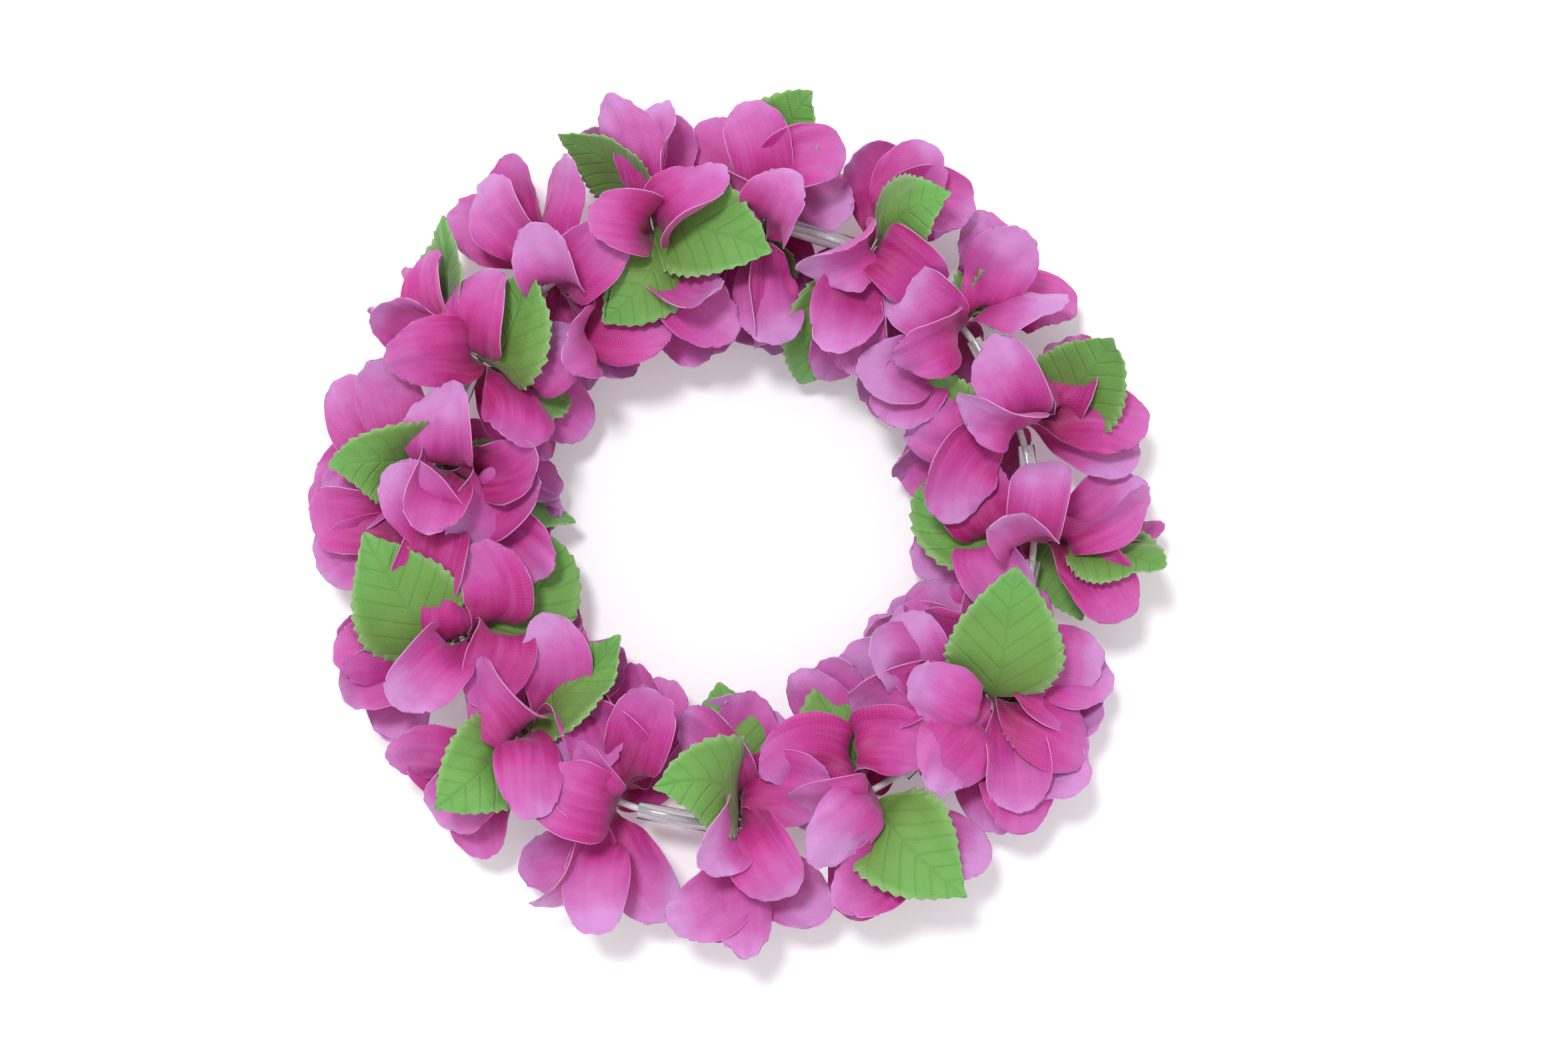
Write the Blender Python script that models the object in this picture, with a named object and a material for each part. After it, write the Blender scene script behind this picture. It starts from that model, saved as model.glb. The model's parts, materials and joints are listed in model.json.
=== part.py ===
"""Flower crown: silk blossoms, leaf sprays and straw spacers threaded on a closed elastic cord.

The crown lies flat. X and Y are across it, +Z is up, and the origin is under its middle, on the
surface that it lies on. Angles round the crown are counted from +X towards +Y.

Each blossom keeps inside its own wedge of the ring, so it can turn about the cord without
meeting the blossoms beside it. Its cloth is laid out flat first, as (out from the cord, up from
the cord, turn along the ring), and is then bent round the ring.
"""

from math import asin, atan2, cos, pi, radians, sin

import bmesh
import bpy
from mathutils import Matrix, Vector

# The loop of elastic cord.
CORD_LOOP_RADIUS = 0.087
CORD_HEIGHT = 0.0262
CORD_RADIUS = 0.0010
CORD_POINTS = 76
KNOT_ANGLE = 331.0
KNOT_LENGTH = 0.0064
KNOT_RADIUS = 0.0024
# Half of the knot's outline, as shares of its half length and of its radius.
KNOT_PROFILE = ((-1.0, 0.0), (-1.0, 0.52), (-0.7, 0.9), (-0.4, 1.0), (0.0, 0.78))
KNOT_SIDES = 12
CONTACT_GAP = 0.0003

# Straw spacers between the blossoms.
STRAW_LENGTH = 0.0225
STRAW_RADIUS = 0.0026
STRAW_WALL = 0.00035
STRAW_SIDES = 12
# Where each straw lies in its gap, from 0 against the blossom before it to 1 against the next.
STRAW_MIDWAY = 0.5
STRAWS_PUSHED_ALONG = {357: 0.3, 41: 0.7, 63: 0.3, 147: 0.25, 169: 0.92, 326: 0.85}

# Cloth of the petals and the leaves.
CLOTH = 0.00045
HUB_HOLE_RADIUS = 0.0015
HUB_RADIUS = 0.0046
HUB_STEP = radians(1.2)
STACK_HALF = radians(2.35)

PETALS_PER_LAYER = 6
PETAL_LENGTH = 0.0325
PETAL_WIDTH = 0.0235
PETAL_ROWS = (0.34, 0.74, 1.0)
PETAL_SHAPE = (0.62, 1.0, 0.46)
PETAL_CUP = 0.0024
PETAL_CUP_AT_TIP = 0.9
WEDGE_MARGIN = radians(1.0)
STEEPEST_TWIST = radians(64)
TWIST_SHARE = 0.95
TWIST_RISE = 1.6
LEAN_RISE = 1.25
SECTOR = 2 * pi / PETALS_PER_LAYER

LEAF_LENGTH = 0.0345
LEAF_WIDTH = 0.0235
LEAF_ROWS = (0.36, 0.68, 1.0)
LEAF_SHAPE = (0.18, 1.0, 0.10)

# Cloth that would reach further below the cord than this folds along the table, and cloth that
# would stand further above it nods over.
FOLD_DEPTH = 0.0205
FOLD_SINK = 0.27
FOLD_SPREAD = 0.85
STAND_HEIGHT = 0.0235
STAND_LOSS = 0.45
STAND_SPREAD = 0.55
# Cloth bends inwards when its direction points further inwards than this, as a cosine.
BENDS_INWARDS_BELOW = -0.12

# Each blossom: its angle round the crown, the spin of its petals about the cord, how long its
# petals are beside the usual, and the leaves of its spray, as sixths of a turn about the cord
# (0 outwards, 1 and 2 upwards, 3 inwards, 4 and 5 downwards).
BLOSSOMS = (
    (357, 4, 1.00, (0, 1, 3)),
    (19, -6, 1.04, (0, 3, 4)),
    (41, 8, 0.94, (1, 3, 5)),
    (63, -9, 0.96, (0, 2, 3)),
    (84, 3, 1.00, (0, 2, 4)),
    (105, -4, 1.05, (0, 3, 5)),
    (126, 10, 1.02, ()),
    (147, -8, 1.00, (0, 2, 3)),
    (169, 6, 0.97, (0, 3, 4)),
    (203, -3, 1.03, (1, 3, 5)),
    (225, 9, 1.06, (0, 3, 4)),
    (247, -7, 1.04, ()),
    (271, 5, 1.00, (2, 3, 5)),
    (297, -5, 1.08, (0, 3, 4)),
    (326, 7, 1.05, (1, 3, 5)),
)


def clear_the_scene():
    for thing in list(bpy.data.objects):
        bpy.data.objects.remove(thing)


def ring_point(turn, out=0.0, up=0.0):
    """The place that is turned this far round the ring, and this far out and up from the cord."""
    reach = CORD_LOOP_RADIUS + out
    return Vector((reach * cos(turn), reach * sin(turn), CORD_HEIGHT + up))


def finish_of(name, colour, roughness, transmission=0.0):
    material = bpy.data.materials.new(name)
    material.use_nodes = True
    shader = material.node_tree.nodes["Principled BSDF"]
    shader.inputs["Base Color"].default_value = (*colour, 1.0)
    shader.inputs["Roughness"].default_value = roughness
    shader.inputs["Transmission Weight"].default_value = transmission
    return material


def place(name, mesh_tool, origin, material):
    """A bmesh in world space becomes an object whose origin is on its joint's axis."""
    for vertex in mesh_tool.verts:
        vertex.co -= origin
    mesh = bpy.data.meshes.new(name)
    mesh_tool.to_mesh(mesh)
    mesh_tool.free()
    mesh.shade_smooth()
    mesh.set_sharp_from_angle(angle=radians(40))
    mesh.materials.append(material)
    thing = bpy.data.objects.new(name, mesh)
    thing.location = origin
    bpy.context.scene.collection.objects.link(thing)
    return thing


def hub(mesh_tool, spin, hub_turn):
    """The punched disc in the middle of a cloth layer. Returns its rim, two edges a sector."""
    rings = []
    for radius in (HUB_HOLE_RADIUS, HUB_RADIUS):
        made = bmesh.ops.create_circle(mesh_tool, segments=2 * PETALS_PER_LAYER, radius=radius)
        rings.append(made["verts"])
    bmesh.ops.bridge_loops(mesh_tool, edges=list(mesh_tool.edges))
    rim = sorted(rings[1], key=lambda vertex: atan2(vertex.co.y, vertex.co.x) % (2 * pi))
    turning = Matrix.Rotation(spin, 3, "Z")
    bmesh.ops.rotate(mesh_tool, verts=list(mesh_tool.verts), cent=(0, 0, 0), matrix=turning)
    bmesh.ops.translate(mesh_tool, verts=list(mesh_tool.verts), vec=(0, 0, hub_turn))
    return rim


def draw_out(mesh_tool, row):
    """Extrudes a row of the cloth's edge, and returns the new row in the same order."""
    edges = [mesh_tool.edges.get(pair) for pair in zip(row, row[1:])]
    made = bmesh.ops.extrude_edge_only(mesh_tool, edges=edges)["geom"]
    fresh = [piece for piece in made if isinstance(piece, bmesh.types.BMVert)]
    return [min(fresh, key=lambda new: (new.co - old.co).length) for old in row]


def laid_flat(distance, azimuth, turn, side):
    """A point in the flat layout. Cloth that would stand too tall or go under the table bends to
    its side of the cord, outwards (1) or inwards (-1)."""
    out, up = distance * cos(azimuth), distance * sin(azimuth)
    deeper = max(0.0, -FOLD_DEPTH - up)
    taller = max(0.0, up - STAND_HEIGHT)
    out += side * (FOLD_SPREAD * deeper + STAND_SPREAD * taller)
    return Vector((out, up + (1.0 - FOLD_SINK) * deeper - STAND_LOSS * taller, turn))


def side_of(azimuth):
    return 1.0 if cos(azimuth) > BENDS_INWARDS_BELOW else -1.0


def twist_that_fits(reach, half_band):
    """How far a petal may turn its face upwards and still keep inside its half of the wedge."""
    most = half_band * (CORD_LOOP_RADIUS + reach) / (0.5 * PETAL_WIDTH)
    return min(STEEPEST_TWIST, asin(min(1.0, most)))


def petal(mesh_tool, root, azimuth, length, hub_turn, band):
    """One petal, drawn out from the hub's rim row by row, twisted and cupped."""
    middle, half_band = 0.5 * (band[0] + band[1]), 0.5 * abs(band[1] - band[0])
    row = root
    for share, wide in zip(PETAL_ROWS, PETAL_SHAPE):
        row = draw_out(mesh_tool, row)
        distance = HUB_RADIUS + length * share
        reach = distance * cos(azimuth)
        twist = twist_that_fits(reach, TWIST_SHARE * half_band) * min(1.0, TWIST_RISE * share)
        bulge = PETAL_CUP * sin(pi * min(share, PETAL_CUP_AT_TIP)) * (1 if band[1] > band[0] else -1)
        for vertex, place_across in zip(row, (-1, 0, 1)):
            across = 0.5 * place_across * wide * PETAL_WIDTH
            raised = bulge if place_across == 0 else 0.0
            turned = azimuth + (across * cos(twist) - raised * sin(twist)) / distance
            along = (across * sin(twist) + raised * cos(twist)) / (CORD_LOOP_RADIUS + reach)
            lean = hub_turn + (middle - hub_turn) * min(1.0, LEAN_RISE * share)
            vertex.co = laid_flat(distance, turned, lean + along, side_of(azimuth))


def bend_round_the_ring(mesh_tool, angle):
    for vertex in mesh_tool.verts:
        out, up, turn = vertex.co
        vertex.co = ring_point(radians(angle) + turn, out, up)


def finish_cloth(name, mesh_tool, angle, material):
    """The flat layout is bent round the ring and given the cloth's thickness."""
    bend_round_the_ring(mesh_tool, angle)
    thing = place(name, mesh_tool, ring_point(radians(angle)), material)
    solid = thing.modifiers.new("Cloth thickness", "SOLIDIFY")
    solid.thickness = CLOTH
    solid.offset = 0.0


def petal_layer(name, angle, spin, length, hub_turn, band, material):
    """A die-cut layer of petals: a punched hub with six petals, cupped away from the straw."""
    mesh_tool = bmesh.new()
    rim = hub(mesh_tool, spin, hub_turn)
    for number in range(PETALS_PER_LAYER):
        root = [rim[(2 * number + step) % len(rim)] for step in (0, 1, 2)]
        petal(mesh_tool, root, SECTOR * (number + 0.5) + spin, length, hub_turn, band)
    finish_cloth(name, mesh_tool, angle, material)


def leaf_spray(name, angle, spin, sixths, half_room, material):
    """A die-cut spray of pointed leaves that lie face up in the gaps between the petals."""
    mesh_tool = bmesh.new()
    rim = hub(mesh_tool, spin, 0.0)
    for sixth in sixths:
        azimuth = sixth * SECTOR + spin
        row = [rim[(2 * sixth + step) % len(rim)] for step in (-1, 0, 1)]
        for share, wide in zip(LEAF_ROWS, LEAF_SHAPE):
            row = draw_out(mesh_tool, row)
            distance = HUB_RADIUS + LEAF_LENGTH * share
            half_turn = 0.5 * LEAF_WIDTH / (CORD_LOOP_RADIUS + distance * cos(azimuth))
            for vertex, place_across in zip(row, (1, 0, -1)):
                turn = place_across * wide * min(half_turn, half_room)
                vertex.co = laid_flat(distance, azimuth, turn, side_of(azimuth))
    finish_cloth(name, mesh_tool, angle, material)


def spacer_straw(name, middle, material):
    """A short length of clear drinking straw round the cord, on the chord of its arc."""
    half_turn = 0.5 * STRAW_LENGTH / CORD_LOOP_RADIUS
    bulge = CORD_LOOP_RADIUS * (1.0 - cos(half_turn))
    centre = ring_point(middle, out=-0.5 * bulge)
    mesh_tool = bmesh.new()
    for radius in (STRAW_RADIUS - STRAW_WALL, STRAW_RADIUS):
        bmesh.ops.create_circle(mesh_tool, segments=STRAW_SIDES, radius=radius)
    bmesh.ops.bridge_loops(mesh_tool, edges=list(mesh_tool.edges))
    bmesh.ops.translate(mesh_tool, verts=list(mesh_tool.verts), vec=(0, 0, -0.5 * STRAW_LENGTH))
    wall = bmesh.ops.extrude_face_region(mesh_tool, geom=list(mesh_tool.faces))["geom"]
    far_end = [piece for piece in wall if isinstance(piece, bmesh.types.BMVert)]
    bmesh.ops.translate(mesh_tool, verts=far_end, vec=(0, 0, STRAW_LENGTH))
    bmesh.ops.recalc_face_normals(mesh_tool, faces=list(mesh_tool.faces))
    straw = place(name, mesh_tool, Vector((0, 0, 0)), material)
    straw.location = centre
    straw.rotation_euler = (radians(-90), 0, middle)


def elastic_cord(material):
    """The cord: one open length of round elastic, whose two ends go into the knot."""
    away = (0.5 * KNOT_LENGTH + CONTACT_GAP) / CORD_LOOP_RADIUS
    start, sweep = radians(KNOT_ANGLE) + away, 2 * pi - 2 * away
    curve = bpy.data.curves.new("elastic_cord", "CURVE")
    curve.dimensions = "3D"
    curve.bevel_depth = CORD_RADIUS
    curve.bevel_resolution = 2
    curve.use_fill_caps = True
    spline = curve.splines.new("POLY")
    spline.points.add(CORD_POINTS - 1)
    for number, point in enumerate(spline.points):
        point.co = (*ring_point(start + sweep * number / (CORD_POINTS - 1)), 1.0)
    curve.materials.append(material)
    bpy.context.scene.collection.objects.link(bpy.data.objects.new("elastic_cord", curve))


def cord_knot(material):
    """The knot that closes the loop: two wraps of the cord drawn tight."""
    half = 0.5 * KNOT_LENGTH
    profile = KNOT_PROFILE + tuple((-along, out) for along, out in reversed(KNOT_PROFILE[:-1]))
    mesh_tool = bmesh.new()
    points = [mesh_tool.verts.new((out * KNOT_RADIUS, 0, along * half)) for along, out in profile]
    edges = [mesh_tool.edges.new(pair) for pair in zip(points, points[1:])]
    bmesh.ops.spin(mesh_tool, geom=points + edges, axis=(0, 0, 1), cent=(0, 0, 0),
                   angle=2 * pi, steps=KNOT_SIDES, use_merge=True)
    bmesh.ops.remove_doubles(mesh_tool, verts=list(mesh_tool.verts), dist=1e-6)
    bmesh.ops.recalc_face_normals(mesh_tool, faces=list(mesh_tool.faces))
    knot = place("cord_knot", mesh_tool, Vector((0, 0, 0)), material)
    knot.location = ring_point(radians(KNOT_ANGLE))
    knot.rotation_euler = (radians(-90), 0, radians(KNOT_ANGLE))


def gap_after(index):
    """The turn from this blossom's hub to the next one's."""
    following = BLOSSOMS[(index + 1) % len(BLOSSOMS)][0]
    return radians((following - BLOSSOMS[index][0]) % 360)


def build():
    clear_the_scene()
    front_cloth = finish_of("front petal cloth", (0.55, 0.06, 0.36), 0.62)
    back_cloth = finish_of("back petal cloth", (0.62, 0.13, 0.45), 0.62)
    leaf_cloth = finish_of("leaf cloth", (0.13, 0.36, 0.07), 0.58)
    clear_straw = finish_of("clear straw", (0.92, 0.93, 0.94), 0.12, 0.85)
    white_elastic = finish_of("white elastic", (0.82, 0.8, 0.8), 0.55)
    elastic_cord(white_elastic)
    cord_knot(white_elastic)
    sprays = 0
    for index, (angle, spin_degrees, size, sixths) in enumerate(BLOSSOMS):
        spin = radians(spin_degrees)
        before, after = 0.5 * gap_after(index - 1), 0.5 * gap_after(index)
        front_band = (HUB_STEP, after - WEDGE_MARGIN)
        back_band = (-HUB_STEP, -before + WEDGE_MARGIN)
        length = PETAL_LENGTH * size
        number = f"{index + 1:02d}"
        petal_layer(f"blossom_{number}_front_petals", angle, spin, length,
                    HUB_STEP, front_band, front_cloth)
        petal_layer(f"blossom_{number}_back_petals", angle, spin, length,
                    -HUB_STEP, back_band, back_cloth)
        if sixths:
            sprays += 1
            room = min(before, after) - WEDGE_MARGIN
            leaf_spray(f"leaf_spray_{sprays:02d}", angle, spin, sixths, room, leaf_cloth)
        slack = 2 * after - 2 * STACK_HALF - STRAW_LENGTH / CORD_LOOP_RADIUS
        share = STRAWS_PUSHED_ALONG.get(angle, STRAW_MIDWAY)
        middle = radians(angle) + STACK_HALF + slack * share + 0.5 * STRAW_LENGTH / CORD_LOOP_RADIUS
        spacer_straw(f"spacer_straw_{number}", middle, clear_straw)


build()
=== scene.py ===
import json
import random
from math import atan2, cos, exp, pi, radians, sin

import bmesh
import bpy
from mathutils import Matrix, Vector, noise


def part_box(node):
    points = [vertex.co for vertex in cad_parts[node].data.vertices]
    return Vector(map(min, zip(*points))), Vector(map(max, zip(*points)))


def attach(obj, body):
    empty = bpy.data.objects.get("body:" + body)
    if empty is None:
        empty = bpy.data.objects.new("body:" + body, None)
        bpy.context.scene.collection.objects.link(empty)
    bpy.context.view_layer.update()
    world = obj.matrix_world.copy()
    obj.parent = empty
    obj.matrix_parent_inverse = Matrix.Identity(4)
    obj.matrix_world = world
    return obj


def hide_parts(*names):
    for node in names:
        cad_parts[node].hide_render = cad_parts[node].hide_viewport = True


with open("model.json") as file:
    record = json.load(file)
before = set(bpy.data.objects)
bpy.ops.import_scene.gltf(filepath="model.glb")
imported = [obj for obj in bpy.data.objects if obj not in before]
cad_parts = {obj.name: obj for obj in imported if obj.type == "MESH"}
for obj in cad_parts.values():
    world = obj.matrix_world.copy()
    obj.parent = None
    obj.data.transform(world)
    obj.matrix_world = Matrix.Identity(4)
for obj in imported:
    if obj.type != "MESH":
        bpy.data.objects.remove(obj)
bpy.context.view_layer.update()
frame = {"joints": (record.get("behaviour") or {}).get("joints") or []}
MM = 0.001


# ---- Elastic cord ------------------------------------------------------------------------------
# One length of round off-white elastic, about 2 mm thick, with a braided cover over rubber cores.
# It passes through every blossom and straw, and its two ends are knotted together.

CORD_RADIUS = 1.0 * MM
CORD_STEPS = 360
CORD_SIDES = 20
BRAID_CROSSINGS = 400
BRAID_STRANDS = 4

turning = {joint["child"]: joint for joint in frame["joints"]}
hub_place = {body: Vector(joint["pos_m"]) for body, joint in turning.items()}
first_hub = hub_place["blossom_01"]
LOOP_RADIUS = first_hub.xy.length
LOOP_HEIGHT = first_hub.z


def ring_point(turn, out=0.0, up=0.0):
    """A point turned this far round the loop, and this far out and up from the cord's middle."""
    reach = LOOP_RADIUS + out
    return Vector((reach * cos(turn), reach * sin(turn), LOOP_HEIGHT + up))


def plain_material(name, colour, roughness):
    """A new material of one colour and gloss, with its tree and its shader."""
    material = bpy.data.materials.new(name)
    material.use_nodes = True
    shader = material.node_tree.nodes["Principled BSDF"]
    shader.inputs["Base Color"].default_value = (*colour, 1.0)
    shader.inputs["Roughness"].default_value = roughness
    return material, material.node_tree, shader


def node(tree, kind, **settings):
    """A new shader node of this kind, set up as asked."""
    made = tree.nodes.new("ShaderNode" + kind)
    for key, value in settings.items():
        setattr(made, key, value)
    return made


def reckoned(tree, operation, first, second=0.0, third=None):
    """What a Math node makes of two or three sockets or numbers."""
    made = node(tree, "Math", operation=operation)
    for socket, value in zip(made.inputs, (first, second, third)):
        if isinstance(value, bpy.types.NodeSocket):
            tree.links.new(value, socket)
        elif value is not None:
            socket.default_value = value
    return made.outputs[0]


def blended(tree, share, first, second, blend_type="MIX"):
    """A colour mix of two sockets or colours by a share, and its result."""
    made = node(tree, "Mix", data_type="RGBA", blend_type=blend_type)
    for socket, value in ((made.inputs[0], share), (made.inputs[6], first), (made.inputs[7], second)):
        if isinstance(value, bpy.types.NodeSocket):
            tree.links.new(value, socket)
        elif isinstance(value, tuple):
            socket.default_value = (*value, 1.0)
        else:
            socket.default_value = value
    return made.outputs[2]


def bump_on(tree, shader, height, strength, distance):
    """The shader's surface takes the relief of this height."""
    bump = node(tree, "Bump")
    bump.inputs["Strength"].default_value = strength
    bump.inputs["Distance"].default_value = distance
    tree.links.new(height, bump.inputs["Height"])
    tree.links.new(bump.outputs["Normal"], shader.inputs["Normal"])


def finished(name, mesh_tool, material, body, nodes=()):
    """A bmesh becomes a smooth-shaded piece that rides on a body and stands for its CAD nodes."""
    mesh = bpy.data.meshes.new(name)
    mesh_tool.to_mesh(mesh)
    mesh_tool.free()
    mesh.shade_smooth()
    mesh.materials.append(material)
    piece = bpy.data.objects.new(name, mesh)
    bpy.context.scene.collection.objects.link(piece)
    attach(piece, body)
    if nodes:
        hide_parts(*nodes)
    return piece


def braided_elastic():
    """Off-white cover whose strands cross round the cord, read from the place along the loop."""
    material, tree, shader = plain_material("braided elastic", (0.80, 0.78, 0.76), 0.62)
    place = node(tree, "TexCoord").outputs["Object"]
    split = node(tree, "SeparateXYZ")
    tree.links.new(place, split.inputs[0])
    across = reckoned(tree, "ARCTAN2", split.outputs[1], split.outputs[0])
    along = reckoned(tree, "MULTIPLY", across, BRAID_CROSSINGS)
    out = reckoned(tree, "SQRT", reckoned(tree, "ADD", reckoned(tree, "POWER", split.outputs[0], 2.0),
                                      reckoned(tree, "POWER", split.outputs[1], 2.0)))
    side = reckoned(tree, "ARCTAN2", reckoned(tree, "SUBTRACT", split.outputs[2], LOOP_HEIGHT),
                  reckoned(tree, "SUBTRACT", out, LOOP_RADIUS))
    around = reckoned(tree, "MULTIPLY", side, BRAID_STRANDS)
    one_way = reckoned(tree, "SINE", reckoned(tree, "ADD", along, around))
    other_way = reckoned(tree, "SINE", reckoned(tree, "SUBTRACT", along, around))
    strands = reckoned(tree, "MAXIMUM", one_way, other_way)
    bump_on(tree, shader, strands, 0.5, 0.1 * MM)
    return material


cord_material = braided_elastic()
cord_tool = bmesh.new()
ring = bmesh.ops.create_circle(cord_tool, segments=CORD_SIDES, radius=CORD_RADIUS)["verts"]
bmesh.ops.rotate(cord_tool, verts=ring, cent=(0, 0, 0), matrix=Matrix.Rotation(pi / 2, 3, "X"))
bmesh.ops.translate(cord_tool, verts=ring, vec=(LOOP_RADIUS, 0, LOOP_HEIGHT))
bmesh.ops.spin(cord_tool, geom=list(cord_tool.verts) + list(cord_tool.edges), axis=(0, 0, 1),
               cent=(0, 0, 0), angle=2 * pi, steps=CORD_STEPS, use_merge=True)
bmesh.ops.recalc_face_normals(cord_tool, faces=list(cord_tool.faces))
finished("elastic_cord_loop", cord_tool, cord_material, "cord_loop", ["elastic_cord"])


# ---- Cord knot ---------------------------------------------------------------------------------
# The cord's two ends, tied in a small tight knot that pulls in among the petals.
# Each end is cut a few millimetres past the knot.

KNOT_TURNS = 2.6
KNOT_LENGTH = 5.6 * MM
KNOT_COIL = 1.55 * MM
KNOT_CORD = 0.85 * MM
TAIL = 5.0 * MM
KNOT_TAIL_SHARE = 0.08
KNOT_POINTS = 64

low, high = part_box("cord_knot")
knot_middle = 0.5 * (low + high)
knot_turn = atan2(knot_middle.y, knot_middle.x)
knot_along = Vector((-sin(knot_turn), cos(knot_turn), 0))
knot_out = Vector((cos(knot_turn), sin(knot_turn), 0))
knot_curve = bpy.data.curves.new("cord_knot_wraps", "CURVE")
knot_curve.dimensions = "3D"
knot_curve.bevel_depth = KNOT_CORD
knot_curve.bevel_resolution = 5
knot_curve.use_fill_caps = True
wrap = knot_curve.splines.new("NURBS")
wrap.points.add(KNOT_POINTS - 1)
wrap.use_endpoint_u = True
for number, point in enumerate(wrap.points):
    share = number / (KNOT_POINTS - 1)
    coil = 2 * pi * KNOT_TURNS * share
    tail = max(0.0, abs(share - 0.5) - (0.5 - KNOT_TAIL_SHARE)) / KNOT_TAIL_SHARE
    spread = KNOT_COIL + TAIL * tail
    place = knot_middle + knot_along * KNOT_LENGTH * (share - 0.5)
    place += knot_out * spread * cos(coil) + Vector((0, 0, 1)) * spread * sin(coil)
    point.co = (*place, 1.0)
knot_curve.materials.append(cord_material)
knot = bpy.data.objects.new("cord_knot_wraps", knot_curve)
bpy.context.scene.collection.objects.link(knot)
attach(knot, "cord_loop")
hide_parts("cord_knot")


# ---- Straw spacers -----------------------------------------------------------------------------
# Short cut lengths of clear thin-walled drinking straw, loose on the cord between the blossoms.
# They keep the blossoms apart, and show the cord through their wall.

STRAW_LENGTH = 22.5 * MM
STRAW_RADIUS = 2.6 * MM
STRAW_WALL = 0.22 * MM
STRAW_SIDES = 40
STRAW_RIM = 0.06 * MM


def clear_plastic():
    """Clear polypropylene, drawn, so it has faint lines along its length and a sharp gloss."""
    material, tree, shader = plain_material("clear straw plastic", (0.96, 0.97, 0.985), 0.09)
    shader.inputs["Transmission Weight"].default_value = 0.94
    shader.inputs["IOR"].default_value = 1.46
    shader.inputs["Specular IOR Level"].default_value = 0.7
    drawn = node(tree, "TexNoise")
    drawn.inputs["Scale"].default_value = 900.0
    drawn.inputs["Detail"].default_value = 1.0
    tree.links.new(node(tree, "TexCoord").outputs["Object"], drawn.inputs["Vector"])
    bump_on(tree, shader, drawn.outputs[0], 0.05, 0.03 * MM)
    return material


straw_material = clear_plastic()
for body, joint in turning.items():
    if not body.startswith("straw_"):
        continue
    number = body[-2:]
    straw_tool = bmesh.new()
    for radius in (STRAW_RADIUS - STRAW_WALL, STRAW_RADIUS):
        bmesh.ops.create_circle(straw_tool, segments=STRAW_SIDES, radius=radius)
    bmesh.ops.bridge_loops(straw_tool, edges=list(straw_tool.edges))
    bmesh.ops.translate(straw_tool, verts=list(straw_tool.verts), vec=(0, 0, -0.5 * STRAW_LENGTH))
    wall = bmesh.ops.extrude_face_region(straw_tool, geom=list(straw_tool.faces))["geom"]
    far_end = [item for item in wall if isinstance(item, bmesh.types.BMVert)]
    bmesh.ops.translate(straw_tool, verts=far_end, vec=(0, 0, STRAW_LENGTH))
    bmesh.ops.recalc_face_normals(straw_tool, faces=list(straw_tool.faces))
    rims = [edge for edge in straw_tool.edges if edge.calc_face_angle(0.0) > radians(60)]
    bmesh.ops.bevel(straw_tool, geom=rims, offset=STRAW_RIM, affect="EDGES", segments=2,
                    profile=0.5, material=-1)
    lie = Vector(joint["axis"]).to_track_quat("Z", "Y").to_matrix().to_4x4()
    bmesh.ops.transform(straw_tool, matrix=Matrix.Translation(joint["pos_m"]) @ lie,
                        verts=list(straw_tool.verts))
    finished(f"clear_straw_{number}", straw_tool, straw_material, body,
             [f"spacer_straw_{number}"])


# ---- Petal layers ------------------------------------------------------------------------------
# Each blossom has two die-cut layers of woven polyester, six round petals on a punched hub.
# The cloth is dyed deep magenta at the hub, painted darker still there as shade where the layers
# overlap, fades to lilac at the tips, and is heat-set to a cup.
# The cord goes through both hubs, and the petals spread out round it.

PETAL_LENGTH = 34.0 * MM
PETAL_WIDTH = 23.0 * MM
PETAL_BROADEST = 0.6
TIP_NARROWING = 0.16
RAGGED = 0.035
HUB_RADIUS = 4.6 * MM
HUB_HOLE = 1.5 * MM
LAYER_STEP = 0.55
PETALS_PER_LAYER = 6
SECTOR = 2 * pi / PETALS_PER_LAYER
PETAL_COLUMNS = 18
PETAL_ROWS = 26
PETAL_TURNED_BY = 0.32
PULLED_STRAIGHT = 0.96
CURVE_STEPS = 40
CURVE_TRIES = 18
CLOTH = 0.28 * MM
CLOTH_SQUARE = 90 * MM
PETAL_THREAD = 0.62 * MM
TABLE_GAP = 0.45 * MM
TABLE_NEAR = 3.0 * MM
UP = Vector((0, 0, 1))

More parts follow.
